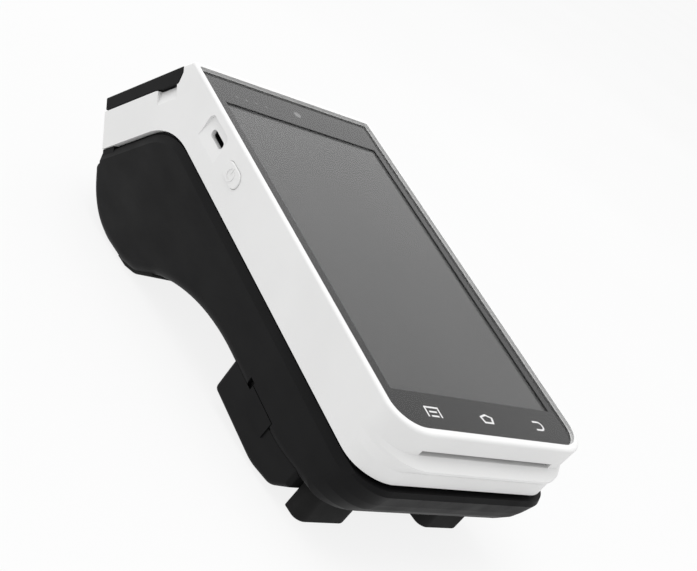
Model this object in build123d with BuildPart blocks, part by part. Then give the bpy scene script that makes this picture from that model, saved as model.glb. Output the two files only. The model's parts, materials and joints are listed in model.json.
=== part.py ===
"""Hand-held card payment terminal with a touch screen and a receipt printer.

Row frame: +X to the right of someone reading the screen, +Y away from them towards the printer,
+Z up, floor at Z = 0. The terminal stands on two front feet and a rear pad, so its screen leans
back by `tilt`. Almost every piece is drawn in the terminal's own directions, measured from the
middle of the screen: X across, Y along the screen and Z out of it. BODY, SIDE and FRONT are the
three sketch planes of those directions.
"""
import math
import os

from build123d import *

os.makedirs("parts", exist_ok=True)

# ------------------------------------------------------------------ driving dimensions (mm, deg)
tilt = 8.4                # lean of the screen when the terminal stands on its feet
lift = 59.8               # height of the screen's centre above the floor
setback = 18.28           # distance of the screen's centre behind the row's origin

half_width = 40.3         # half of the body's width
front_y = -80.0           # front face at the screen
fore_y = -90.0            # start of the side views, clear of the front
corner_r = 11.0           # plan radius of the two front corners
wall = 2.2                # casing wall
rim = 0.9                 # rounding of the top rim

parting_z = -20.0         # underside of the white casing along the sides
seam = 1.25               # shadow gap between the two casings
parting_r = 29.0          # bend of the parting line
end_angle = 51.8          # slope of the printer end below the screen
end_face = 63.7           # outer face of the sloping end
end_foot = 102.9          # lower end of the sloping face
parting_out = 44.5        # parting line on the sloping end
bend_y, rise = -68.0, 0.077   # where the parting line starts to rise to the front, and its slope

glass_half = 38.75
glass_front = -77.3
glass_rear = 79.0
glass_thick = 1.1
glass_corner = 9.3
window_half = 34.25       # display window, 5.5 inch diagonal with a 16:9 shape
window_long = 125.9

lid_top = 56.2
lid_end = 102.2
lid_inner = 58.9
hinge_out, hinge_down = 60.5, 100.9
lobe_out = 58.35          # inner edge of the lid's grip lobes
lid_gap = 0.4

platen_out, platen_down = 56.5, 62.3
platen_r = 4.5
roll_y, roll_z = 72.0, -43.0
roll_r = 19.0
bay_r = 20.3
paper_half = 28.75

gear_module = 0.5
gear_x = 32.6             # inner face of the gear train
gear_wide = 2.6
platen_teeth, idler_teeth, pinion_teeth = 18, 32, 12
motor_y, motor_z = 48.0, -25.0

cell_r = 9.1
cell_ys = (-46.4, -27.8)
cell_z = -39.4
pocket = (-60.5, -17.4)   # battery pocket, front and rear
pocket_top = -29.9

screws = ((-32.5, -65.5), (32.5, -65.5), (-33.0, 24.0), (33.0, 24.0))
boss_r = 2.6

ear_x, ear_wide, ear_r = 34.4, 4.0, 1.9   # casing ears that carry the lid
pin_r = 0.75                              # lid hinge pins

slot_half = 27.8                          # card slot, for an ID-1 card 53.98 wide
slot_low, slot_high = -8.3, -6.5
white_nose = (                            # height, front face and corner radius of the white casing
    (1.0, front_y, corner_r),
    (slot_low, -79.5, corner_r),
    (-10.1, -83.5, 16.0),                 # thin front edge of the card shelf
    (-10.9, -83.5, 16.0),
    (-14.0, -81.0, 11.4),
    (-120.0, -81.2, corner_r),
)
black_nose = (                            # the same for the black casing
    (10.0, -82.2, corner_r),
    (-17.0, -82.2, corner_r),
    (-20.2, -82.5, corner_r),
    (-21.8, -83.2, corner_r),
    (-23.2, -82.8, corner_r),
    (-26.6, -81.8, corner_r),
    (-30.1, -80.4, corner_r),
    (-34.5, -77.4, corner_r),
    (-38.5, -73.5, corner_r),
    (-80.0, -73.5, corner_r),
)

usb_y, usb_recess, usb_top = 50.25, 14.5, -3.2
usb_z = -7.6
key_y, key_z = 32.2, -8.75                # power button
key_long, key_tall, key_gap = 10.6, 6.1, 0.15

belly_z = -42.1                           # flat part of the underside
belly_r = 3.5
pad_half = 38.0                           # rear pad
foot_z = -50.2                            # bottom of the front feet
feet = ((-25.7, 19.8), (24.0, 18.0))      # middle and width of the two front feet
bump_z, bump_half = -52.9, 39.9           # battery cover
tab_ys, tab_top = (-43.9, -29.4), -38.4
cover_gap = 0.15

frame_z = -3.7                            # top of the mid frame
board_z = -11.2                           # top of the main board
key_row = -69.9                           # touch keys on the glass
icon_xs = (-21.9, 0.6, 23.1)
home_shape = ((-2.8, 0.8), (0, 1.9), (2.8, 0.8), (2.0, -1.7), (-2.0, -1.7))
light_xs, light_y = (-27.0, -23.0, -18.8, -14.4), 68.4

# ------------------------------------------------------------------ planes and helpers
lean_sin = math.sin(math.radians(tilt))
lean_cos = math.cos(math.radians(tilt))
centre = (0, -setback, lift)
BODY = Plane(origin=centre, x_dir=(1, 0, 0), z_dir=(0, -lean_sin, lean_cos))
SIDE = Plane(origin=centre, x_dir=(0, lean_cos, lean_sin), z_dir=(1, 0, 0))
FRONT = Plane(origin=centre, x_dir=(1, 0, 0), z_dir=(0, -lean_cos, -lean_sin))
end_sin = math.sin(math.radians(end_angle))
end_cos = math.cos(math.radians(end_angle))
row_angle = math.radians(end_angle - tilt)
DOWN = Plane(
    origin=centre, x_dir=(-1, 0, 0), z_dir=(0, math.cos(row_angle), -math.sin(row_angle))
)                         # looks down the sloping end: its sketch Y is `out`


def slope(out, down):
    """Side-view point of the sloping end, `out` from its origin plane and `down` along it."""
    return (out * end_sin + down * end_cos, out * end_cos - down * end_sin)


def level(out, height):
    """Side-view point at a height below the glass on the plane `out` of the sloping end."""
    return ((out - height * end_cos) / end_sin, height)


def slab(points, half, x=0.0):
    """Side-view outline made `2 * half` thick about the plane X = x, as a free solid."""
    with BuildPart(mode=Mode.PRIVATE) as solid:
        with BuildSketch(SIDE.offset(x)):
            with BuildLine():
                Polyline(*points, close=True)
            make_face()
        extrude(amount=half, both=True)
    return solid.part


def block(x_range, y_range, z_range):
    """Box in the body's directions, from three (low, high) pairs."""
    with BuildPart(mode=Mode.PRIVATE) as solid:
        with BuildSketch(BODY.offset(z_range[0])):
            with Locations((sum(x_range) / 2, sum(y_range) / 2)):
                Rectangle(x_range[1] - x_range[0], y_range[1] - y_range[0])
        extrude(amount=z_range[1] - z_range[0])
    return solid.part


def rod(y, z, radius, x_range):
    """Cylinder along X through a side-view point."""
    with BuildPart(mode=Mode.PRIVATE) as solid:
        with BuildSketch(SIDE.offset(x_range[0])):
            with Locations((y, z)):
                Circle(radius)
        extrude(amount=x_range[1] - x_range[0])
    return solid.part


def post(x, y, radius, z_range):
    """Cylinder square to the screen."""
    with BuildPart(mode=Mode.PRIVATE) as solid:
        with BuildSketch(BODY.offset(z_range[0])):
            with Locations((x, y)):
                Circle(radius)
        extrude(amount=z_range[1] - z_range[0])
    return solid.part


def plan(height, half, front, radius):
    """Plan of the body at one height, with its two large front corners."""
    with BuildSketch(BODY.offset(height)) as outline:
        with BuildLine():
            FilletPolyline(
                (half, 130), (half, front), (-half, front), (-half, 130),
                radius=[radius, radius],
            )
            Line((-half, 130), (half, 130))
        make_face()
    return outline.sketch


def plan_prism(inset, z_range):
    """Plan of the body at the screen, inset and run through a range of heights."""
    outline = plan(z_range[0], half_width - inset, front_y + inset, corner_r - inset)
    return extrude(outline, amount=z_range[1] - z_range[0], mode=Mode.PRIVATE)


def nosed(stations):
    """Full plan of the body run through stations of height, front face and corner radius."""
    outlines = [plan(z, half_width, front, radius) for z, front, radius in sorted(stations)]
    return loft(outlines, ruled=True, mode=Mode.PRIVATE)


def save(piece, name):
    """Label a finished piece and write it as its own STEP file."""
    piece.part.label = name
    export_step(piece.part, f"parts/{name}.step")


# ------------------------------------------------------------------ white front casing
lid_edge = [                                  # side view of the lid's edge, with its grip lobe
    slope(end_face, lid_top),
    slope(61.6, lid_top),
    slope(lid_inner, 58.4),
    slope(lobe_out, 59.0),
    slope(lobe_out, 67.5),
    slope(lid_inner, 71.5),
    slope(lid_inner, lid_end - 0.4),
    slope(lid_inner + 0.4, lid_end),
    slope(end_face, lid_end),
]
tear_edge = [                                 # thin steel strip let into the casing's edge
    slope(60.2, lid_top - lid_gap),
    slope(63.9, lid_top - lid_gap),
    slope(63.9, lid_top - lid_gap - 0.35),
    slope(60.2, lid_top - lid_gap - 0.35),
]
lid_space = [                                 # the same edge with its running gap, open outwards
    slope(end_face + 5, lid_top - lid_gap),
    slope(61.3, lid_top - lid_gap),
    slope(lid_inner - lid_gap, 57.9),
    slope(lobe_out - lid_gap, 58.6),
    slope(lobe_out - lid_gap, 67.7),
    slope(lid_inner - lid_gap, 71.7),
    slope(lid_inner - lid_gap, end_foot + 5),
    slope(end_face + 5, end_foot + 5),
]

with BuildPart() as front_cavity:
    with BuildSketch(SIDE):
        with BuildLine():
            Polyline(
                (front_y, -3.4),
                level(end_face - wall, -3.4),
                slope(end_face - wall, end_foot - wall),
                slope(parting_out - 8, end_foot - wall),
                (60, -40),
                (front_y, -40),
                close=True,
            )
        make_face()
    extrude(amount=half_width, both=True)
    add(plan_prism(wall, (-120, 10)), mode=Mode.INTERSECT)

with BuildPart() as front_casing:
    with BuildSketch(SIDE):
        with BuildLine():
            FilletPolyline(
                (fore_y, 0),
                level(end_face, 0),
                slope(end_face, end_foot),
                slope(parting_out, end_foot),
                level(parting_out, parting_z),
                (bend_y, parting_z),
                (fore_y, parting_z + rise * (bend_y - fore_y)),
                radius=[0, 1.2, 0, 0, parting_r, 40, 0],
                close=True,
            )
        make_face()
    extrude(amount=half_width, both=True)
    add(nosed(white_nose), mode=Mode.INTERSECT)
    top_rim = front_casing.faces().sort_by(Axis(centre, BODY.z_dir))[-1]
    fillet(top_rim.edges().sort_by(Axis(centre, BODY.y_dir))[:-1], radius=rim)
    add(front_cavity.part, mode=Mode.SUBTRACT)
    # screen opening: a recess for the glass above a ledge, then the clear opening
    with BuildSketch(BODY):
        with BuildLine():
            seat_half = glass_half + 0.1
            FilletPolyline(
                (seat_half, glass_rear + 0.1),
                (seat_half, glass_front - 0.1),
                (-seat_half, glass_front - 0.1),
                (-seat_half, glass_rear + 0.1),
                radius=[0.8, glass_corner, glass_corner, 0.8],
                close=True,
            )
        make_face()
    extrude(amount=-(glass_thick + 0.1), mode=Mode.SUBTRACT)
    add(block((-36.6, 36.6), (-74.0, 75.5), (-6, 1)), mode=Mode.SUBTRACT)
    # space for the lid over the whole sloping end
    add(slab(lid_space, half_width + 1), mode=Mode.SUBTRACT)
    add(slab(tear_edge, 29.4), mode=Mode.SUBTRACT)
    # two ears for the lid's hinge pins stand on the lower wall
    ear = [
        slope(hinge_out, hinge_down - ear_r),
        slope(hinge_out - 8, hinge_down - ear_r),
        slope(hinge_out - 8, end_foot),
        slope(lid_inner - lid_gap, end_foot),
        slope(hinge_out, hinge_down + ear_r),
    ]
    for side in (-1, 1):
        add(slab(ear, ear_wide / 2, side * ear_x))
        ear_span = (side * ear_x - ear_wide / 2, side * ear_x + ear_wide / 2)
        add(rod(*slope(hinge_out, hinge_down), ear_r, ear_span))
        add(rod(*slope(hinge_out, hinge_down), pin_r + 0.05, ear_span), mode=Mode.SUBTRACT)
    # card slot above the thin edge of the shelf
    slot = [(fore_y, slot_low), (-76, slot_low), (-76, slot_high), (fore_y, slot_high)]
    add(slab(slot, slot_half), mode=Mode.SUBTRACT)
    # USB recess in the left side, deepest at its top, and the port's opening
    with BuildSketch(SIDE.offset(-half_width - 1)):
        with Locations((usb_y, usb_top - 6)):
            RectangleRounded(usb_recess, 12, 2.4)
    recess = extrude(amount=3, mode=Mode.PRIVATE)
    with BuildSketch(FRONT.offset(-usb_y - usb_recess)):
        with BuildLine():
            Polyline(
                (-half_width - 2, usb_top + 1),
                (-half_width + 1.5, usb_top + 1),
                (-half_width, usb_top - 10),
                (-half_width - 2, usb_top - 10),
                close=True,
            )
        make_face()
    add(recess & extrude(amount=2 * usb_recess, mode=Mode.PRIVATE), mode=Mode.SUBTRACT)
    with BuildSketch(SIDE.offset(-half_width - 1)):
        with Locations((usb_y - 1.3, usb_z)):
            RectangleRounded(8.6, 2.7, 1.3)
        with Locations((key_y, key_z)):
            SlotOverall(key_long + 2 * key_gap, key_tall + 2 * key_gap)
    extrude(amount=5, mode=Mode.SUBTRACT)
    # finger scoops beside the lid's grips, running out down the side walls
    for side in (-1, 1):
        with BuildSketch(DOWN.offset(59.2)):
            with BuildLine():
                Polyline(
                    (side * (half_width + 1), 53.0),
                    (side * half_width, 53.0),
                    (side * (half_width - 1.8), lobe_out),
                    (side * (half_width + 1), lobe_out),
                    close=True,
                )
            make_face()
        extrude(amount=11.0, mode=Mode.SUBTRACT)
    # screw bosses on ribs from the side walls
    for x, y in screws:
        side = 1 if x > 0 else -1
        add(block(sorted((x, side * (half_width - 1))), (y - 0.8, y + 0.8), (-18.2, -5.2)))
        add(post(x, y, boss_r, (-21.0, -5.2)))
        add(post(x, y, 1.0, (-21.5, -9.0)), mode=Mode.SUBTRACT)
save(front_casing, "front_casing")

# ------------------------------------------------------------------ black rear casing
lip_foot = end_foot + 1.2
foot_step = slope(41.6, lip_foot)
underside = [                                 # side view of the belly, front to rear
    (fore_y, -33.8),
    (-68.0, -38.2),
    (-50.0, belly_z),
    (12.2, belly_z),
    (37.0, -56.6),
    (47.0, -64.9),
    (56.0, -68.4),
    (69.0, -70.5),
    (84.8, -70.4),
    (98.8, -60.0),
    foot_step,
]
underside_r = [0, 45, 60, 96, 20, 12, 20, 30, 34, 2, 0]
pocket_front, pocket_rear = pocket

with BuildPart() as rear_solid:
    with BuildSketch(SIDE):
        with BuildLine():
            FilletPolyline(
                (fore_y, parting_z - seam + rise * (bend_y - fore_y)),
                *underside,
                slope(parting_out - seam, lip_foot),
                level(parting_out - seam, parting_z - seam),
                (bend_y, parting_z - seam),
                radius=[0, *underside_r, 0, parting_r - seam, 40],
                close=True,
            )
        make_face()
    extrude(amount=half_width)
    flank = rear_solid.faces().filter_by(Axis.X).sort_by(Axis.X)[-1]
    belly_edges = []
    for edge in flank.edges():
        spot = BODY.to_local_coords(edge.center())
        lower = spot.Z < parting_z - 2 and spot.Y * end_sin + spot.Z * end_cos < 39.5
        if lower and spot.Y > fore_y + 5:
            belly_edges.append(edge)
    fillet(belly_edges, radius=belly_r)
    # bevel along the upper edge, long down the side and short across it
    flank = rear_solid.faces().filter_by(Axis.X).sort_by(Axis.X)[-1]
    upper = flank.edges().filter_by(
        lambda e: abs(BODY.to_local_coords(e.center()).Z - parting_z + seam) < 0.1
    )
    chamfer(upper[:1], length=2.9, length2=1.0, reference=flank)
    mirror(about=SIDE)
    add(nosed(black_nose), mode=Mode.INTERSECT)

with BuildPart() as rear_cavity:
    with BuildSketch(SIDE):
        with BuildLine():
            FilletPolyline(
                (front_y, 10),
                (front_y, -29.0),
                (-76.0, -35.0),
                *underside[1:],
                slope(70, lip_foot),
                (118, 10),
                radius=[0, 0, 0, *underside_r[1:], 0, 0],
                close=True,
            )
        make_face()
        offset(amount=-wall, kind=Kind.INTERSECTION)
    extrude(amount=half_width - wall, both=True)
    add(plan_prism(wall, (-120, 10)), mode=Mode.INTERSECT)
    pocket_y = (pocket_front - 1.5, pocket_rear + 1.5)
    add(block((-45, 45), pocket_y, (-70, pocket_top + 1.5)), mode=Mode.SUBTRACT)

pad_zone = [(38.9, -58.6), (41.2, -56.4), (59.8, -61.0), (59.8, -74.0), (38.0, -74.0)]
with BuildPart() as rear_foot_pad:
    with BuildSketch(SIDE):
        with BuildLine():
            FilletPolyline(
                (front_y, -20), *underside, (60, -20),
                radius=[0, *underside_r, 0], close=True,
            )
        make_face()
        offset(amount=0.8, kind=Kind.INTERSECTION)
    extrude(amount=pad_half, both=True)
    with BuildSketch(SIDE):
        with BuildLine():
            FilletPolyline(
                (front_y, -20), *underside, (60, -20),
                radius=[0, *underside_r, 0], close=True,
            )
        make_face()
        offset(amount=-1.0, kind=Kind.INTERSECTION)
    extrude(amount=pad_half, both=True, mode=Mode.SUBTRACT)
    add(slab(pad_zone, half_width), mode=Mode.INTERSECT)
    with BuildSketch():
        Rectangle(100, 300)
    extrude(amount=-10, mode=Mode.SUBTRACT)      # the sole lies flat on the floor
save(rear_foot_pad, "rear_foot_pad")

with BuildPart() as rear_casing:
    add(rear_solid.part)
    add(rear_cavity.part, mode=Mode.SUBTRACT)
    # battery pocket, open below
    add(block((-36.8, 36.8), pocket, (-70, pocket_top)), mode=Mode.SUBTRACT)
    # tongue that fits inside the white casing
    with BuildSketch(SIDE):
        with BuildLine():
            FilletPolyline(
                (front_y, parting_z + 1.6),
                level(parting_out + 1.6, parting_z + 1.6),
                slope(parting_out + 1.6, end_foot - 6),
                slope(parting_out - 6, end_foot - 6),
                level(parting_out - 6, parting_z - 6),
                (front_y, parting_z - 6),
                radius=[0, parting_r + 1.6, 0, 0, parting_r - 6, 0],
                close=True,
            )
        make_face()
    tongue = extrude(amount=half_width, both=True, mode=Mode.PRIVATE)
    tongue = tongue - plan_prism(wall + 1.4, (-120, 10))
    add(tongue & plan_prism(wall + 0.2, (-120, 10)))
    root = [
        (front_y, parting_z - 3),
        level(parting_out - 3, parting_z - 3),
        slope(parting_out - 3, end_foot - 6),
        slope(parting_out - 6, end_foot - 6),
        level(parting_out - 6, parting_z - 6),
        (front_y, parting_z - 6),
    ]
    with BuildSketch(SIDE):
        with BuildLine():
            FilletPolyline(*root, radius=[0, parting_r - 3, 0, 0, parting_r - 6, 0], close=True)
        make_face()
    root_band = extrude(amount=half_width, both=True, mode=Mode.PRIVATE)
    root_band = root_band - plan_prism(wall + 1.4, (-120, 10))
    add(root_band & plan_prism(wall - 0.6, (-120, 10)))
    # sills that close the lower ends of the seam
    sill = [
        slope(parting_out - 3, end_foot - 6.5),
        slope(parting_out - 0.1, end_foot - 6.5),
        slope(parting_out - 0.1, end_foot + 0.4),
        slope(parting_out - 3, end_foot + 0.4),
    ]
    for side in (-1, 1):
        add(slab(sill, 1.4, side * 38.3))
    # seats for the battery cover's two side tabs, with a nick at each end of a tab
    for side in (-1, 1):
        outer = sorted((side * (half_width - 1.5), side * (half_width + 1)))
        add(block(outer, (tab_ys[0] - 0.3, tab_ys[1] + 0.3), (-50, tab_top + 0.3)), mode=Mode.SUBTRACT)
        add(block(outer, (tab_ys[1], tab_ys[1] + 2.6), (-41.2, -37.4)), mode=Mode.SUBTRACT)
        add(block(outer, (tab_ys[0] - 0.9, tab_ys[0]), (-41.6, -39.8)), mode=Mode.SUBTRACT)
    # screw posts with counterbored heads below
    for x, y in screws:
        floor_z = -48.0 if y > 0 else -38.6
        add(post(x, y, 3.2, (floor_z, -21.4)) & rear_solid.part)
        add(post(x, y, 1.35, (-80, -20)), mode=Mode.SUBTRACT)
        add(post(x, y, 2.5, (-80, floor_z + 3.5)), mode=Mode.SUBTRACT)
    # speaker grille
    for x in range(-9, 10, 3):
        add(block((x - 0.6, x + 0.6), (-8.0, 0.0), (-50, -37)), mode=Mode.SUBTRACT)
    add(rear_foot_pad.part, mode=Mode.SUBTRACT)
save(rear_casing, "rear_casing")

with BuildPart() as front_feet:
    for x, width in feet:
        with BuildSketch(BODY.offset(foot_z - 3)):
            with Locations((x, -66.1)):
                Rectangle(width, 6.8)
            fillet(vertices().group_by(Axis.Y)[0], radius=3.4)
        extrude(amount=22)
    with BuildSketch():
        Rectangle(100, 300)
    extrude(amount=-10, mode=Mode.SUBTRACT)      # both soles lie flat on the floor
    fillet(front_feet.faces().sort_by(Axis.Z)[:2].edges(), radius=0.6)
    add(rear_solid.part, mode=Mode.SUBTRACT)
    add(block((-40, 40), (-80, -50), (-36, 0)), mode=Mode.SUBTRACT)
save(front_feet, "front_feet")

with BuildPart() as casing_screws:
    for x, y in screws:
        head_z = -48.0 + 3.5 if y > 0 else -38.6 + 3.5
        add(post(x, y, 2.2, (head_z - 1.6, head_z)))
        add(post(x, y, 0.98, (head_z - 0.1, -10.0)))
        with BuildSketch(BODY.offset(head_z - 1.6)):
            with Locations((x, y)):
                Rectangle(2.6, 0.5)
                Rectangle(0.5, 2.6)
        extrude(amount=0.7, mode=Mode.SUBTRACT)
save(casing_screws, "casing_screws")

# ------------------------------------------------------------------ battery and its cover
with BuildPart() as battery_cover:
    with BuildSketch(SIDE):
        with BuildLine():
            bump = [
                (pocket_rear + 1.0, -30),
                (pocket_rear + 0.7, bump_z),
                (-46.0, bump_z),
                (-56.5, -50.0),
                (-62.4, -43.9),
                (-62.4, -30),
            ]
            FilletPolyline(*bump, radius=[0, 1.8, 22, 7, 1.0, 0], close=True)
        make_face()
    extrude(amount=bump_half, both=True)
    lower = battery_cover.faces().filter_by(Axis.X)
    fillet([e for f in lower for e in f.edges() if BODY.to_local_coords(e.center()).Z < -43.3], radius=1.5)
    with BuildSketch(SIDE):
        with BuildLine():
            FilletPolyline(*bump, radius=[0, 1.8, 22, 7, 1.0, 0], close=True)
        make_face()
        offset(amount=-1.7, kind=Kind.INTERSECTION)
    extrude(amount=bump_half - 1.7, both=True, mode=Mode.SUBTRACT)
    add(rear_solid.part.moved(Location(BODY.z_dir * -cover_gap)), mode=Mode.SUBTRACT)
    # press tabs that snap into the side walls
    for side in (-1, 1):
        span = sorted((side * (half_width - 1.2), side * half_width))
        add(block(span, tab_ys, (-44.5, tab_top)))
        add(block(sorted((side * 38.6, side * (half_width - 0.4))), tab_ys, (-44.5, -42.6)))
save(battery_cover, "battery_cover")

with BuildPart() as battery_pack:
    with BuildSketch(SIDE):
        with Locations((sum(cell_ys) / 2, cell_z)):
            SlotOverall(cell_ys[1] - cell_ys[0] + 2 * cell_r, 2 * cell_r)
    extrude(amount=33.5, both=True)
    fillet(battery_pack.faces().filter_by(Axis.X).edges(), radius=0.8)
save(battery_pack, "battery_pack")

with BuildPart() as battery_contacts:
    add(block((34.0, 36.8), (-42.0, -32.0), (-40.0, -35.0)))
    for y in (-40.0, -37.0, -34.0):
        add(block((33.6, 34.1), (y - 0.6, y + 0.6), (-39.2, -35.8)))
save(battery_contacts, "battery_contacts")

# ------------------------------------------------------------------ screen stack
with BuildPart() as cover_glass:
    with BuildSketch(BODY) as glass_plan:
        with BuildLine():
            FilletPolyline(
                (glass_half, glass_rear),
                (glass_half, glass_front),
                (-glass_half, glass_front),
                (-glass_half, glass_rear),
                radius=[0.7, glass_corner, glass_corner, 0.7],
                close=True,
            )
        make_face()
    extrude(amount=-glass_thick)
    chamfer(cover_glass.faces().sort_by(Axis(centre, BODY.z_dir))[-1].edges(), length=0.2)
save(cover_glass, "cover_glass")

with BuildPart() as key_icons:                 # menu, home and back, lit through the mask
    with BuildSketch(BODY.offset(-glass_thick)):
        menu_x, home_x, back_x = icon_xs
        with Locations((menu_x, key_row)):
            Rectangle(5.8, 3.8)
        with Locations((menu_x, key_row - 0.6)):
            Rectangle(4.6, 3.8, mode=Mode.SUBTRACT)
        with Locations((menu_x, key_row), (menu_x, key_row - 1.55)):
            Rectangle(3.0, 0.6)
        with BuildLine():
            Polyline(*[(home_x + x, key_row + y) for x, y in home_shape], close=True)
        make_face()
        with BuildLine():
            Polyline(*[(home_x + 0.68 * x, key_row + 0.62 * y) for x, y in home_shape], close=True)
        make_face(mode=Mode.SUBTRACT)
        with Locations((back_x, key_row)):
            SlotOverall(6.2, 3.7)
            SlotOverall(4.9, 2.4, mode=Mode.SUBTRACT)
        with Locations((back_x - 2.2, key_row)):
            Rectangle(2.2, 3.8, mode=Mode.SUBTRACT)
    extrude(amount=-0.1)
save(key_icons, "key_icons")

with BuildPart() as contactless_lights:
    for x in light_xs:
        add(post(x, light_y, 0.65, (frame_z + 0.1, -glass_thick)))
save(contactless_lights, "contactless_lights")

with BuildPart() as front_camera:
    add(post(0.6, 70.2, 1.5, (-2.0, -glass_thick)))
    add(post(0.6, 70.2, 2.2, (frame_z, -2.0)))
save(front_camera, "front_camera")

with BuildPart() as screen_mask:
    with BuildSketch(BODY.offset(-glass_thick)):
        add(glass_plan.sketch_local)
        offset(amount=-0.25)
        Rectangle(2 * window_half, window_long, mode=Mode.SUBTRACT)
    extrude(amount=-0.1)
    for printed in (key_icons, contactless_lights, front_camera):
        add(printed.part, mode=Mode.SUBTRACT)
save(screen_mask, "screen_mask")

gasket_z = -glass_thick - 0.1
with BuildPart() as display_gasket:
    with BuildSketch(BODY.offset(gasket_z)):
        Rectangle(72.4, 131.0)
        Rectangle(2 * window_half, window_long, mode=Mode.SUBTRACT)
    extrude(amount=-0.5)
save(display_gasket, "display_gasket")

with BuildPart() as display_panel:
    add(block((-36.0, 36.0), (-65.2, 65.2), (frame_z, gasket_z - 0.5)))
save(display_panel, "display_panel")

with BuildPart() as mid_frame:
    with BuildSketch(BODY.offset(frame_z)):
        with BuildLine():
            FilletPolyline(
                (37.9, 72), (37.9, -77.6), (-37.9, -77.6), (-37.9, 72),
                radius=[1, 8.6, 8.6, 1], close=True,
            )
        make_face()
        with Locations((0, 67.2)):
            RectangleRounded(18, 3.2, 1, mode=Mode.SUBTRACT)
    extrude(amount=-0.8)
save(mid_frame, "mid_frame")

with BuildPart() as display_flex:
    with BuildSketch(SIDE):
        with BuildLine():
            FilletPolyline(
                (65.3, -3.0), (67.2, -3.0), (67.2, board_z + 0.12), (52.0, board_z + 0.12),
                radius=[0.9, 2.0],
            )
        trace(line_width=0.2)
    extrude(amount=7, both=True)
save(display_flex, "display_flex")

# ------------------------------------------------------------------ electronics
with BuildPart() as main_board:
    with BuildSketch(BODY.offset(board_z)):
        with Locations((0, -6)):
            RectangleRounded(75, 128, 3)
        for x, y in screws:
            side = 1 if x > 0 else -1
            with Locations((x, y)):
                Circle(boss_r + 0.4, mode=Mode.SUBTRACT)
            with Locations((x + side * 4, y)):
                Rectangle(8, 2.6, mode=Mode.SUBTRACT)
        with Locations((-37.5, key_y)):
            Rectangle(2.2, 13.5, mode=Mode.SUBTRACT)
    extrude(amount=-1.2)
save(main_board, "main_board")

with BuildPart() as shield_cans:
    for x, y, width, length in ((-13, -8, 24, 20), (15, -4, 20, 20), (-8, -40, 30, 24)):
        with BuildSketch(BODY.offset(board_z - 1.2)):
            with Locations((x, y)):
                RectangleRounded(width, length, 1)
        extrude(amount=-2.2)
save(shield_cans, "shield_cans")

with BuildPart() as coin_cell:
    add(post(-15, 24, 6.2, (board_z - 4.3, board_z - 1.2)))
save(coin_cell, "coin_cell")

with BuildPart() as nfc_antenna:
    with BuildSketch(BODY.offset(frame_z - 0.85)):
        with Locations((0, 42)):
            RectangleRounded(60, 44, 5)
            RectangleRounded(52, 36, 3, mode=Mode.SUBTRACT)
    extrude(amount=-0.4)
save(nfc_antenna, "nfc_antenna")

with BuildPart() as usb_socket:
    add(block((-38.0, -31.0), (43.6, 54.7), (board_z, -5.4)))
    with BuildSketch(SIDE.offset(-38.0)):
        with Locations((usb_y - 1.1, usb_z)):
            SlotOverall(8.34, 2.56)
    extrude(amount=5.5, mode=Mode.SUBTRACT)
    with BuildSketch(SIDE.offset(-37.2)):
        with Locations((usb_y - 1.1, usb_z)):
            Rectangle(6.6, 0.7)
    extrude(amount=4.8)
save(usb_socket, "usb_socket")

with BuildPart() as power_switch:
    add(block((-36.2, -32.0), (key_y - 3, key_y + 3), (board_z, -6.0)))
    add(rod(key_y, key_z, 1.2, (-36.5, -36.1)))
save(power_switch, "power_switch")

with BuildPart() as power_button:
    with BuildSketch(SIDE.offset(-37.6)):
        with Locations((key_y, key_z)):
            SlotOverall(key_long, key_tall)
    extrude(amount=-3.2)
    fillet(power_button.faces().sort_by(Axis.X)[0].edges(), radius=0.35)
    with BuildSketch(SIDE.offset(-37.9)):
        with Locations((key_y, key_z)):
            SlotOverall(key_long + 1.6, key_tall + 1.2)
    extrude(amount=0.7)
    # raised power symbol: an open ring with a bar in its gap
    with BuildSketch(SIDE.offset(-40.75)):
        with Locations((key_y + 0.3, key_z - 0.2)):
            Circle(2.25)
            Circle(1.65, mode=Mode.SUBTRACT)
        with Locations((key_y + 0.3, key_z + 1.6)):
            Rectangle(1.7, 2.2, mode=Mode.SUBTRACT)
        with Locations((key_y + 0.3, key_z + 1.2)):
            Rectangle(0.6, 2.2)
    extrude(amount=-0.25)
save(power_button, "power_button")

with BuildPart() as card_reader_frame:
    add(block((-29.2, 29.2), (-77.6, -24.0), (-9.6, -5.0)))
    add(block((-27.6, 27.6), (fore_y, -26.0), (slot_low, slot_high)), mode=Mode.SUBTRACT)
    add(block((-9.5, 9.5), (-51.0, -39.0), (slot_high - 0.1, -4)), mode=Mode.SUBTRACT)
save(card_reader_frame, "card_reader_frame")

with BuildPart() as card_contacts:
    add(block((-9.4, 9.4), (-50.9, -39.1), (-6.0, -5.0)))
    for x in (-3.8, 3.8):
        for k in range(4):
            y = -48.8 + 2.54 * k
            add(block((x - 2.0, x + 2.0), (y - 0.5, y + 0.5), (slot_high - 0.3, -5.9)))
save(card_contacts, "card_contacts")

with BuildPart() as speaker:
    add(block((-14, 14), (-12, 3), (-39.4, -34.4)))
    add(block((-16.5, 16.5), (-8, -1), (-36.0, -34.4)))
save(speaker, "speaker")

# ------------------------------------------------------------------ gears of the printer drive
platen_y, platen_z = slope(platen_out, platen_down)
pressure = math.radians(20)
backlash = 0.12
centre_slack = 0.06


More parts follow.
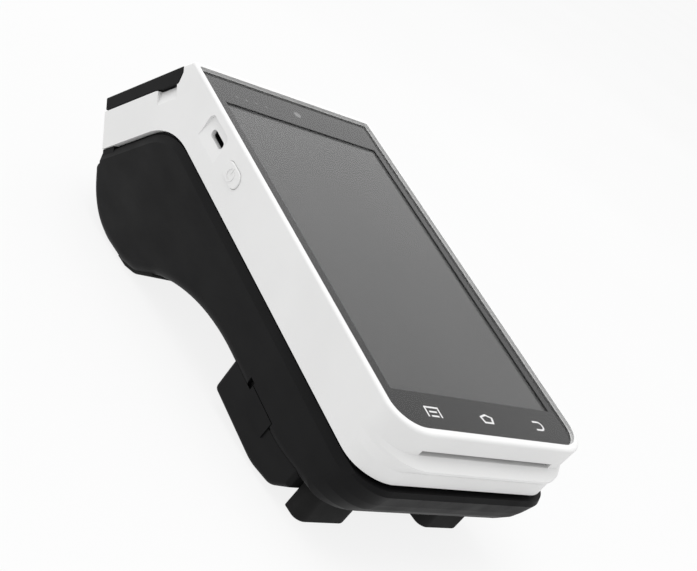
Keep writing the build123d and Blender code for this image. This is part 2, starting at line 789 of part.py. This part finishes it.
def gear_outline(teeth, phase):
    """Points of an involute spur gear with one tooth centred on the angle `phase`."""
    pitch_r = gear_module * teeth / 2
    base_r = pitch_r * math.cos(pressure)
    tip_r = pitch_r + 0.85 * gear_module
    root_r = pitch_r - 1.15 * gear_module
    half_tooth = (math.pi * gear_module / 2 - backlash) / (2 * pitch_r)
    flank = [root_r] + [max(base_r, root_r) + f * (tip_r - max(base_r, root_r)) for f in (0.02, 0.4, 0.7, 1)]
    points = []
    for tooth in range(teeth):
        middle = phase + 2 * math.pi * tooth / teeth
        left, right = [], []
        for radius in flank:
            roll = math.acos(min(1, base_r / radius))
            half = half_tooth + math.tan(pressure) - pressure - math.tan(roll) + roll
            left.append((radius * math.cos(middle - half), radius * math.sin(middle - half)))
            right.append((radius * math.cos(middle + half), radius * math.sin(middle + half)))
        points += left + right[::-1]
    return points


def gear(spot, teeth, phase, bore):
    """Spur gear at a side-view point, in the plane of the gear train."""
    with BuildPart(mode=Mode.PRIVATE) as solid:
        with BuildSketch(SIDE.offset(gear_x)):
            with BuildLine():
                Polyline(*[(spot[0] + y, spot[1] + z) for y, z in gear_outline(teeth, phase)], close=True)
            make_face()
            with Locations(spot):
                Circle(bore, mode=Mode.SUBTRACT)
        extrude(amount=gear_wide)
    return solid.part


def meshed_phase(spot, teeth, phase, next_spot, next_teeth):
    """Phase of the next gear so that a gap of it faces a tooth of this one."""
    towards = math.atan2(next_spot[1] - spot[1], next_spot[0] - spot[0])
    return towards + math.pi + (towards - phase) * teeth / next_teeth - math.pi / next_teeth


reach_1 = gear_module * (platen_teeth + idler_teeth) / 2 + centre_slack
reach_2 = gear_module * idler_teeth + centre_slack
reach_3 = gear_module * (idler_teeth + pinion_teeth) / 2 + centre_slack
platen_spot = (platen_y, platen_z)
idler_1_spot = slope(platen_out - reach_1, platen_down)
motor_spot = (motor_y, motor_z)
span_y, span_z = motor_y - idler_1_spot[0], motor_z - idler_1_spot[1]
span = math.hypot(span_y, span_z)
along = (reach_2 ** 2 - reach_3 ** 2 + span ** 2) / (2 * span)
aside = math.sqrt(reach_2 ** 2 - along ** 2)
idler_2_spot = (
    idler_1_spot[0] + (along * span_y - aside * span_z) / span,
    idler_1_spot[1] + (along * span_z + aside * span_y) / span,
)
idler_1_phase = meshed_phase(platen_spot, platen_teeth, 0, idler_1_spot, idler_teeth)
idler_2_phase = meshed_phase(idler_1_spot, idler_teeth, idler_1_phase, idler_2_spot, idler_teeth)
pinion_phase = meshed_phase(idler_2_spot, idler_teeth, idler_2_phase, motor_spot, pinion_teeth)

with BuildPart() as platen_gear:
    add(gear(platen_spot, platen_teeth, 0, 1.2))
save(platen_gear, "platen_gear")

with BuildPart() as idler_gear_1:
    add(gear(idler_1_spot, idler_teeth, idler_1_phase, 1.05))
save(idler_gear_1, "idler_gear_1")

with BuildPart() as idler_gear_2:
    add(gear(idler_2_spot, idler_teeth, idler_2_phase, 1.05))
save(idler_gear_2, "idler_gear_2")

with BuildPart() as motor_pinion:
    add(gear(motor_spot, pinion_teeth, pinion_phase, 0.8))
save(motor_pinion, "motor_pinion")

with BuildPart() as motor_shaft:
    add(rod(*motor_spot, 0.8, (24.0, 35.6)))
save(motor_shaft, "motor_shaft")

with BuildPart() as printer_motor:
    add(rod(*motor_spot, 7.4, (18.5, 31.0)))
    fillet(printer_motor.edges().filter_by(GeomType.CIRCLE), radius=0.5)
    add(rod(*motor_spot, 0.85, (23.5, 31.5)), mode=Mode.SUBTRACT)
save(printer_motor, "printer_motor")

# ------------------------------------------------------------------ printer mechanism
head_spot = slope(45.0, 55.4)
notch_half = 2.9
plate = [
    slope(57.9, 55.2),
    slope(57.9, platen_down - notch_half),
    slope(platen_out - notch_half, platen_down - notch_half),
    slope(platen_out - notch_half, platen_down + notch_half),
    slope(57.9, platen_down + notch_half),
    slope(57.9, 69.0),
    slope(40.0, 71.0),
    (57.0, -38.0),
    (40.3, -33.0),
    (40.3, -17.4),
    (60.0, -13.4),
    slope(46.0, 51.6),
]
with BuildPart() as printer_chassis:
    for side in (-1, 1):
        add(slab(plate, 0.6, side * 31.6))
    add(slab([slope(46, 51.6), slope(56, 51.6), slope(56, 52.8), slope(46, 52.8)], 31.5))
    for spot in (idler_1_spot, idler_2_spot):
        add(rod(*spot, 1.0, (32.0, 35.6)))
    add(rod(*motor_spot, 1.6, (30, 33)), mode=Mode.SUBTRACT)
    add(rod(*head_spot, 0.9, (-40, 40)), mode=Mode.SUBTRACT)
save(printer_chassis, "printer_chassis")

with BuildPart() as head_pivot_rod:
    add(rod(*head_spot, 0.9, (-32.4, 32.4)))
save(head_pivot_rod, "head_pivot_rod")

with BuildPart() as head_heatsink:
    add(slab([slope(45, 54.4), slope(59.5, 54.4), slope(59.5, 56.6), slope(45, 56.6)], 28.6))
    add(rod(*head_spot, 1.9, (-28.6, 28.6)))
    add(rod(*head_spot, 0.95, (-30, 30)), mode=Mode.SUBTRACT)
save(head_heatsink, "head_heatsink")

with BuildPart() as thermal_head:
    add(slab([slope(49, 56.6), slope(59.3, 56.6), slope(59.3, 57.3), slope(49, 57.3)], 27.5))
save(thermal_head, "thermal_head")

with BuildPart() as head_springs:               # torsion coils on the pivot rod
    for side in (-1, 1):
        add(rod(*head_spot, 1.6, sorted((side * 29.3, side * 30.6))))
        leg = [slope(45.6, 53.9), slope(50.5, 53.9), slope(50.5, 54.4), slope(45.6, 54.4)]
        add(slab(leg, 0.25, side * 29.55))
    add(rod(*head_spot, 1.0, (-40, 40)), mode=Mode.SUBTRACT)
save(head_springs, "head_springs")

with BuildPart() as paper_bay:
    bay_out = roll_y * end_sin + roll_z * end_cos
    bay_down = roll_y * end_cos - roll_z * end_sin
    for reach, half, mode in ((bay_r + 1.5, 30.95, Mode.ADD), (bay_r, 29.3, Mode.SUBTRACT)):
        with BuildSketch(SIDE):
            with BuildLine():
                top_open = 0 if mode == Mode.ADD else 6
                Polyline(
                    slope(bay_out, bay_down - reach),
                    slope(42.0 + top_open, bay_down - reach),
                    slope(57.6 + top_open, bay_down + reach),
                    slope(bay_out, bay_down + reach),
                )
                ThreePointArc(
                    slope(bay_out, bay_down + reach),
                    slope(bay_out - reach, bay_down),
                    slope(bay_out, bay_down - reach),
                )
            make_face()
        extrude(amount=half, both=True, mode=mode)
save(paper_bay, "paper_bay")

with BuildPart() as paper_roll:
    add(rod(roll_y, roll_z, roll_r, (-paper_half, paper_half)))
    add(rod(roll_y, roll_z, 6.5, (-40, 40)), mode=Mode.SUBTRACT)
save(paper_roll, "paper_roll")

with BuildPart() as roll_core:
    add(rod(roll_y, roll_z, 6.5, (-28.4, 28.4)))
    add(rod(roll_y, roll_z, 5.2, (-40, 40)), mode=Mode.SUBTRACT)
save(roll_core, "roll_core")

with BuildPart() as tear_bar:
    add(slab(tear_edge, 29.4))
save(tear_bar, "tear_bar")

# ------------------------------------------------------------------ paper lid
with BuildPart() as paper_lid:
    add(slab(lid_edge, half_width))
    outer = paper_lid.faces().sort_by(
        lambda f: BODY.to_local_coords(f.center()).Y * end_sin
        + BODY.to_local_coords(f.center()).Z * end_cos
    )[-1]
    fillet(outer.edges(), radius=0.5)
    hollow = [
        slope(61.9, 50), slope(61.9, 97.6), slope(50, 97.6), slope(50, 50),
    ]
    add(slab(hollow, half_width - 1.7), mode=Mode.SUBTRACT)
    # paper exit, ear notches and pin bores
    mouth = [slope(50, 50), slope(66, 50), slope(66, 58.2), slope(50, 58.2)]
    add(slab(mouth, 30.5), mode=Mode.SUBTRACT)
    notch = [slope(55, 96.8), slope(66, 96.8), slope(66, 104), slope(55, 104)]
    for side in (-1, 1):
        add(slab(notch, ear_wide / 2 + 0.3, side * ear_x), mode=Mode.SUBTRACT)
        add(rod(*slope(hinge_out, hinge_down), pin_r, sorted((side * 30, side * 38.4))), mode=Mode.SUBTRACT)
save(paper_lid, "paper_lid")

with BuildPart() as hinge_pins:
    for side in (-1, 1):
        add(rod(*slope(hinge_out, hinge_down), pin_r, sorted((side * 30, side * 38.4))))
save(hinge_pins, "hinge_pins")

with BuildPart() as lid_liner:
    add(slab([slope(60.4, 67.5), slope(61.9, 67.5), slope(61.9, 96.5), slope(60.4, 96.5)], 37.5))
    arm = [
        slope(61.9, 60.2),
        slope(platen_out + 1, platen_down - 2.7),
        slope(platen_out - 1.6, platen_down - 2.2),
        slope(platen_out - 2.6, platen_down),
        slope(platen_out - 1.6, platen_down + 2.2),
        slope(60.4, 69.0),
        slope(61.9, 69.0),
    ]
    for side in (-1, 1):
        add(slab(arm, 0.8, side * 29.8))
        add(rod(*platen_spot, 1.9, (-40, 40)), mode=Mode.SUBTRACT)
save(lid_liner, "lid_liner")

with BuildPart() as platen_bushes:
    for side in (-1, 1):
        add(rod(*platen_spot, 1.9, sorted((side * 29.0, side * 31.1))))
        add(rod(*platen_spot, 2.5, sorted((side * 31.0, side * 32.2))))
    add(rod(*platen_spot, 1.25, (-40, 40)), mode=Mode.SUBTRACT)
save(platen_bushes, "platen_bushes")

with BuildPart() as platen_shaft:
    add(rod(*platen_spot, 1.2, (-33.0, 35.6)))
save(platen_shaft, "platen_shaft")

with BuildPart() as platen_rubber:
    add(rod(*platen_spot, platen_r, (-28.4, 28.4)))
    add(rod(*platen_spot, 1.2, (-40, 40)), mode=Mode.SUBTRACT)
save(platen_rubber, "platen_rubber")
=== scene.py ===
"""Looks of the card payment terminal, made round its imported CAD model.

Lengths in this script are millimetres in the terminal's own directions, measured from the middle of
the screen: X across it, Y along it towards the printer and Z out of it. `at` turns them into metres
in the shared frame.
"""
import json
import math

import bpy
from mathutils import Matrix, Vector


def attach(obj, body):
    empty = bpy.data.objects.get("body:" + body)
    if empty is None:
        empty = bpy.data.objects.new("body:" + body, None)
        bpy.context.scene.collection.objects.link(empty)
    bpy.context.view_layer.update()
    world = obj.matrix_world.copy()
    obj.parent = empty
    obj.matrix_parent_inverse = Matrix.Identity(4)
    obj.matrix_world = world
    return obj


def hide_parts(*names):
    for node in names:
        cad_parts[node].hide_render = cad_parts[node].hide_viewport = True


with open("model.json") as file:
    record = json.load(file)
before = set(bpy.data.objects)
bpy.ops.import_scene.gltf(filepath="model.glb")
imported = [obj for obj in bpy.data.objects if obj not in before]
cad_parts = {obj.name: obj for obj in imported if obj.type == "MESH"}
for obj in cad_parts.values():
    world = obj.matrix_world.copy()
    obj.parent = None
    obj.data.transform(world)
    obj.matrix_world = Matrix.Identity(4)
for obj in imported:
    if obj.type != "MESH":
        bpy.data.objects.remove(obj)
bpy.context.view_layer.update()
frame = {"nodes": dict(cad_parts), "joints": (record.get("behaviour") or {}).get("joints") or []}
nodes = frame["nodes"]
joints = {joint["name"]: joint for joint in frame["joints"]}

# ------------------------------------------------------------------ directions of the terminal
MM = 0.001
ACROSS = Vector((1, 0, 0))
OUT = -Vector(joints["battery_cover_pull"]["axis"])      # the cover pulls away from the screen
ALONG = Vector((0, OUT.z, -OUT.y))


def reach(node, direction):
    """Lowest and highest value of a CAD node's points along a direction, in metres."""
    values = [vertex.co.dot(direction) for vertex in nodes[node].data.vertices]
    return min(values), max(values)


middle_along = sum(reach("display_panel", ALONG)) / 2
ORIGIN = ALONG * middle_along + OUT * reach("cover_glass", OUT)[1]


def at(x, y, z):
    """Point of the shared frame, in metres, from millimetres in the terminal's directions."""
    return ORIGIN + ACROSS * (x * MM) + ALONG * (y * MM) + OUT * (z * MM)


# ------------------------------------------------------------------ node helpers
MIX_COLOURS = (6, 7)         # inputs and output of a Mix node that carry colours
MIX_RESULT = 2
WAVE_TURN = 20               # radians that a wave texture turns through in 1 m at scale 1


def wave_scale(pitch_mm):
    """Scale of a wave texture whose waves are pitch_mm apart."""
    return math.tau / (WAVE_TURN * pitch_mm * MM)


class Look:
    """A Principled material with procedural inputs, in object coordinates."""

    def __init__(self, name, **values):
        self.material = bpy.data.materials.new(name)
        self.material.use_nodes = True
        self.tree = self.material.node_tree
        self.surface = self.tree.nodes["Principled BSDF"]
        self.place = self.tree.nodes.new("ShaderNodeTexCoord").outputs["Object"]
        for socket, value in values.items():
            self.surface.inputs[socket.replace("_", " ")].default_value = value

    def node(self, kind, links=(), **settings):
        """New node, with its settings and with (input, source or value) pairs."""
        made = self.tree.nodes.new(kind)
        for name, value in settings.items():
            setattr(made, name, value)
        for socket, source in links:
            if isinstance(source, bpy.types.NodeSocket):
                self.tree.links.new(source, made.inputs[socket])
            else:
                made.inputs[socket].default_value = source
        return made

    def noise(self, grain_mm, detail=3.0, stretch=(1, 1, 1)):
        """Noise whose features are about grain_mm across."""
        where = self.place
        if stretch != (1, 1, 1):
            where = self.node("ShaderNodeMapping", [("Vector", where), ("Scale", stretch)]).outputs["Vector"]
        links = [("Vector", where), ("Scale", 1 / (grain_mm * MM)), ("Detail", detail)]
        return self.node("ShaderNodeTexNoise", links).outputs["Fac"]

    def ramp(self, source, low, high, start=0.3, end=0.7):
        """Colours from low to high as the source goes from start to end."""
        made = self.node("ShaderNodeValToRGB", [("Fac", source)])
        for stop, place, value in zip(made.color_ramp.elements, (start, end), (low, high)):
            stop.position = place
            stop.color = (*value, 1)
        return made.outputs["Color"]

    def span(self, source, low, high, start=0.3, end=0.7):
        """Number from low to high as the source goes from start to end."""
        limits = [("From Min", start), ("From Max", end), ("To Min", low), ("To Max", high)]
        return self.node("ShaderNodeMapRange", [("Value", source), *limits]).outputs["Result"]

    def blend(self, share, first, second):
        """Colour mixed from first to second by share."""
        made = self.node("ShaderNodeMix", [(0, share)], data_type="RGBA")
        for index, source in zip(MIX_COLOURS, (first, second)):
            if isinstance(source, tuple):
                made.inputs[index].default_value = (*source, 1)
            else:
                self.tree.links.new(source, made.inputs[index])
        return made.outputs[MIX_RESULT]

    def rings(self, node, pitch_mm):
        """Rings round a CAD node's axis, which runs across the terminal."""
        middle_y = sum(reach(node, Vector((0, 1, 0)))) / 2
        middle_z = sum(reach(node, Vector((0, 0, 1)))) / 2
        shift = [("Vector", self.place), ("Location", (0, -middle_y, -middle_z))]
        centred = self.node("ShaderNodeMapping", shift).outputs["Vector"]
        links = [("Vector", centred), ("Scale", wave_scale(pitch_mm)), ("Distortion", 1.2)]
        wave = self.node("ShaderNodeTexWave", links, wave_type="RINGS", rings_direction="X")
        return wave.outputs["Fac"]

    def bands(self, pitch_mm):
        """Bands that run along the terminal, side by side."""
        links = [("Vector", self.place), ("Scale", wave_scale(pitch_mm))]
        wave = self.node("ShaderNodeTexWave", links, wave_type="BANDS", bands_direction="X")
        return wave.outputs["Fac"]

    def cells(self, size_mm, metric="MANHATTAN"):
        """Distance from the middles of irregular cells about size_mm across."""
        links = [("Vector", self.place), ("Scale", 1 / (size_mm * MM))]
        return self.node("ShaderNodeTexVoronoi", links, distance=metric).outputs["Distance"]

    def colour(self, source):
        """Base colour from a node's output."""
        self.tree.links.new(source, self.surface.inputs["Base Color"])

    def rough(self, source):
        """Roughness from a node's output."""
        self.tree.links.new(source, self.surface.inputs["Roughness"])

    def bump(self, source, depth_mm, strength=1.0):
        """Relief of the given depth where the source goes from 0 to 1."""
        links = [("Height", source), ("Distance", depth_mm * MM), ("Strength", strength)]
        made = self.node("ShaderNodeBump", links)
        self.tree.links.new(made.outputs["Normal"], self.surface.inputs["Normal"])


def dress(look, *names):
    """Put a finished look on CAD nodes."""
    for name in names:
        mesh = nodes[name].data
        mesh.materials.clear()
        mesh.materials.append(look.material)


# ------------------------------------------------------------------ materials
def grey(value):
    """Neutral colour."""
    return (value, value, value)


def moulded(name, dark, light, rough, grain_mm, depth_mm, **values):
    """Injection-moulded plastic: fine spark texture, faint flow marks and patches of handling sheen."""
    look = Look(name, **values)
    look.colour(look.ramp(look.noise(22, detail=4), dark, light))
    sheen = look.span(look.noise(7, detail=5, stretch=(1, 0.4, 1)), rough[0], rough[1])
    look.rough(sheen)
    look.bump(look.noise(grain_mm, detail=2), depth_mm)
    return look


white_plastic = moulded(
    "white_plastic", (0.72, 0.72, 0.717), (0.745, 0.745, 0.742), (0.40, 0.48), grain_mm=0.35, depth_mm=0.006
)
black_plastic = moulded(
    "black_plastic", (0.0035, 0.0035, 0.0038), (0.0055, 0.0055, 0.0058), (0.5, 0.6),
    grain_mm=0.3, depth_mm=0.015, Specular_IOR_Level=0.1,
)
black_rubber = moulded(
    "black_rubber", grey(0.006), grey(0.011), (0.7, 0.85),
    grain_mm=0.5, depth_mm=0.02, Specular_IOR_Level=0.15,
)
grey_plastic = moulded(
    "grey_plastic", (0.10, 0.10, 0.105), (0.13, 0.13, 0.135), (0.42, 0.5), grain_mm=0.4, depth_mm=0.012
)
ivory_plastic = moulded(
    "ivory_plastic", (0.70, 0.66, 0.55), (0.78, 0.75, 0.66), (0.38, 0.46), grain_mm=0.5, depth_mm=0.006
)
cell_wrap = moulded(
    "cell_wrap", (0.02, 0.10, 0.20), (0.03, 0.13, 0.25), (0.22, 0.34), grain_mm=1.4, depth_mm=0.03
)
clear_black = moulded(
    "lens", grey(0.004), (0.006, 0.006, 0.010), (0.03, 0.06), grain_mm=1.0, depth_mm=0.001, Coat_Weight=1.0
)


def metal(name, colour, rough, stretch=(1, 1, 1), grain_mm=0.5):
    """Bare metal with a drawn or ground grain."""
    look = Look(name, Metallic=1.0)
    grain = look.noise(grain_mm, detail=5, stretch=stretch)
    dark = tuple(0.88 * channel for channel in colour)
    look.colour(look.ramp(grain, dark, colour))
    look.rough(look.span(grain, rough, rough + 0.14))
    look.bump(grain, 0.004)
    return look


steel = metal("steel", (0.60, 0.60, 0.61), 0.24, stretch=(0.08, 1, 1))
tinplate = metal("tinplate", (0.72, 0.72, 0.71), 0.30, stretch=(1, 0.15, 1), grain_mm=0.8)
aluminium = metal("aluminium", (0.78, 0.78, 0.79), 0.32, stretch=(0.1, 1, 1))
brass = metal("brass", (0.86, 0.66, 0.30), 0.22)
gold = metal("gold_plate", (0.95, 0.74, 0.36), 0.18, grain_mm=0.3)
dark_steel = metal("dark_steel", (0.10, 0.10, 0.105), 0.35)


def glass_look():
    """Coated glass, nearly clear: the printed border and the display below it carry the sheen."""
    look = Look("coated_glass", Alpha=0.05)
    look.colour(look.ramp(look.noise(30), (0.05, 0.052, 0.052), (0.07, 0.072, 0.072)))
    look.rough(look.span(look.noise(18, detail=1), 0.02, 0.05))
    return look


def ink_look():
    """Dark ink printed behind the glass, with the glass's own gentle sheen."""
    look = Look("mask_ink", IOR=1.36)
    look.colour(look.ramp(look.noise(0.6), grey(0.024), grey(0.027)))
    look.rough(look.span(look.noise(18, detail=1), 0.06, 0.10))
    return look


def display_look():
    """Display at rest: fine pixel columns and rows in a dark grey."""
    look = Look("display", IOR=1.36)
    glow = look.ramp(look.noise(40), grey(0.083), grey(0.089))
    pixels = look.cells(0.12, "CHEBYCHEV")
    look.colour(look.blend(look.span(pixels, 0.0, 0.12), glow, grey(0.07)))
    look.rough(look.span(look.noise(18, detail=1), 0.08, 0.12))
    return look


def print_look(name, dark, light):
    """Thin even coat of ink or glaze."""
    look = Look(name, Roughness=0.5)
    look.colour(look.ramp(look.noise(0.5), dark, light))
    look.bump(look.noise(0.12), 0.002)
    return look


def paper_look():
    """Thermal paper wound on a roll: the layers show as rings on its ends."""
    look = Look("paper")
    fibre = look.noise(1.2, detail=6)
    layers = look.rings("paper_roll", 0.45)
    page = look.ramp(fibre, (0.86, 0.85, 0.81), (0.92, 0.91, 0.88))
    look.colour(look.blend(look.span(layers, 0.0, 0.25, 0.5, 0.0), page, (0.55, 0.53, 0.48)))
    look.rough(look.span(fibre, 0.62, 0.8))
    look.bump(layers, 0.03, 0.5)
    return look


def board_look():
    """Solder mask with copper tracks and pads under it."""
    look = Look("circuit_board")
    tracks = look.span(look.cells(2.6), 0.0, 1.0, 0.42, 0.5)
    pads = look.span(look.cells(1.7, "CHEBYCHEV"), 1.0, 0.0, 0.10, 0.14)
    mask = look.blend(tracks, (0.010, 0.085, 0.040), (0.020, 0.150, 0.065))
    look.colour(look.blend(pads, mask, (0.72, 0.68, 0.55)))
    look.rough(look.span(pads, 0.32, 0.22))
    look.bump(tracks, 0.03)
    return look


def flex_look(name, film, copper, pitch_mm):
    """Polyimide film over copper tracks that run along the terminal."""
    look = Look(name)
    tracks = look.bands(pitch_mm)
    look.colour(look.blend(look.span(tracks, 0.0, 1.0, 0.45, 0.55), film, copper))
    look.rough(look.span(look.noise(3), 0.25, 0.36))
    look.bump(tracks, 0.02)
    return look


def cloth_look():
    """Woven acoustic cloth over the speaker's basket."""
    look = Look("acoustic_cloth")
    weave = look.cells(0.35, "CHEBYCHEV")
    look.colour(look.ramp(weave, grey(0.03), grey(0.008), 0.1, 0.6))
    look.rough(look.span(look.noise(2), 0.7, 0.85))
    look.bump(weave, 0.06)
    return look


dress(white_plastic, "front_casing", "power_button")
dress(black_plastic, "rear_casing", "battery_cover", "paper_lid")
dress(black_rubber, "rear_foot_pad", "front_feet", "platen_rubber", "display_gasket")
dress(grey_plastic, "power_switch", "card_reader_frame", "paper_bay", "lid_liner")
dress(ivory_plastic, "idler_gear_1", "idler_gear_2", "platen_gear", "platen_bushes")
dress(steel, "printer_chassis", "head_pivot_rod", "head_springs", "tear_bar", "hinge_pins")
dress(steel, "motor_shaft", "platen_shaft")
dress(tinplate, "shield_cans", "coin_cell", "printer_motor")
dress(aluminium, "mid_frame", "head_heatsink")
dress(brass, "motor_pinion")
dress(gold, "battery_contacts", "card_contacts")
dress(dark_steel, "casing_screws", "usb_socket")
dress(ink_look(), "screen_mask")
dress(display_look(), "display_panel")
dress(print_look("icon_ink", grey(0.68), grey(0.74)), "key_icons")
dress(print_look("light_pipe", grey(0.10), grey(0.13)), "contactless_lights")
dress(print_look("ceramic", (0.62, 0.60, 0.55), (0.70, 0.68, 0.63)), "thermal_head")
dress(print_look("card_tube", (0.36, 0.27, 0.17), (0.44, 0.34, 0.22)), "roll_core")
dress(paper_look(), "paper_roll")
dress(board_look(), "main_board")
dress(flex_look("display_film", (0.42, 0.17, 0.03), (0.60, 0.28, 0.08), 0.5), "display_flex")
dress(flex_look("antenna_film", (0.10, 0.06, 0.02), (0.50, 0.26, 0.12), 1.2), "nfc_antenna")
dress(cloth_look(), "speaker")
dress(cell_wrap, "battery_pack")
dress(clear_black, "front_camera")


# ------------------------------------------------------------------ cover glass bonded to its printed border
BOND = 0.04                  # how far the glass reaches into the border, so that no two faces coincide
LOWER_FACE = 0.1             # points this close to the glass's lowest one belong to its lower face


def bonded_glass():
    """Cover glass whose lower face reaches just into the printed border, as if laminated to it."""
    mesh = nodes["cover_glass"].data.copy()
    lowest = reach("cover_glass", OUT)[0]
    for vertex in mesh.vertices:
        if vertex.co.dot(OUT) < lowest + LOWER_FACE * MM:
            vertex.co -= OUT * (BOND * MM)
    mesh.materials.clear()
    mesh.materials.append(glass_look().material)
    glass = bpy.data.objects.new("laminated_glass", mesh)
    bpy.context.scene.collection.objects.link(glass)
    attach(glass, "terminal")
    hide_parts("cover_glass")


bonded_glass()


# ------------------------------------------------------------------ floor, light and camera
def set_floor():
    """Plain pale floor that glows a little, so that shadows on it stay faint."""
    side = 40.0
    mesh = bpy.data.meshes.new("floor")
    corners = [(-side, -side, 0), (side, -side, 0), (side, side, 0), (-side, side, 0)]
    mesh.from_pydata(corners, [], [(0, 1, 2, 3)])
    floor = bpy.data.objects.new("floor", mesh)
    bpy.context.scene.collection.objects.link(floor)
    look = Look("floor", Roughness=0.9, Specular_IOR_Level=0.0)
    look.colour(look.ramp(look.noise(400), grey(0.09), grey(0.10)))
    look.surface.inputs["Emission Color"].default_value = (1, 1, 1, 1)
    look.surface.inputs["Emission Strength"].default_value = 0.85
    mesh.materials.append(look.material)


def set_sky():
    """White sky, brighter towards the printer's end, where the screen mirrors it."""
    world = bpy.data.worlds.new("sky")
    bpy.context.scene.world = world
    world.use_nodes = True
    tree = world.node_tree
    sky = tree.nodes["Background"]
    sky.inputs["Color"].default_value = (1, 1, 1, 1)
    heading = tree.nodes.new("ShaderNodeSeparateXYZ")
    tree.links.new(tree.nodes.new("ShaderNodeTexCoord").outputs["Generated"], heading.inputs[0])
    strength = tree.nodes.new("ShaderNodeMapRange")
    for socket, value in (("From Min", 0.45), ("From Max", 0.75), ("To Min", 0.9), ("To Max", 1.5)):
        strength.inputs[socket].default_value = value
    tree.links.new(heading.outputs["Y"], strength.inputs["Value"])
    tree.links.new(strength.outputs["Result"], sky.inputs["Strength"])


def set_lamp():
    """One large soft lamp above the terminal, aimed at it."""
    lamp = bpy.data.lights.new("overhead", "AREA")
    lamp.shape = "DISK"
    lamp.size = 1.2
    lamp.energy = 9.5
    above = bpy.data.objects.new("overhead", lamp)
    above.location = (-0.1, 0.1, 1.4)
    above.rotation_euler = (-above.location).to_track_quat("-Z", "Y").to_euler()
    bpy.context.scene.collection.objects.link(above)


def facing(x, y, z):
    """Unit vector of the shared frame from one in the terminal's directions."""
    return (ACROSS * x + ALONG * y + OUT * z).normalized()


def set_camera():
    """Camera low over the front left corner, rolled so that the terminal stands on its corner."""
    data = bpy.data.cameras.new("camera")
    data.lens = 64.28
    data.sensor_width = 36.0
    camera = bpy.data.objects.new("camera", data)
    camera.location = at(-269.4, -237.0, 155.3)
    right = facing(0.7208, -0.405, 0.5624)
    above = facing(-0.160, 0.6923, 0.7037)
    back = right.cross(above)
    camera.rotation_euler = Matrix((right, above, back)).transposed().to_euler()
    bpy.context.scene.collection.objects.link(camera)
    bpy.context.scene.camera = camera


set_floor()
set_sky()
set_lamp()
set_camera()
bpy.context.scene.view_settings.view_transform = "Standard"
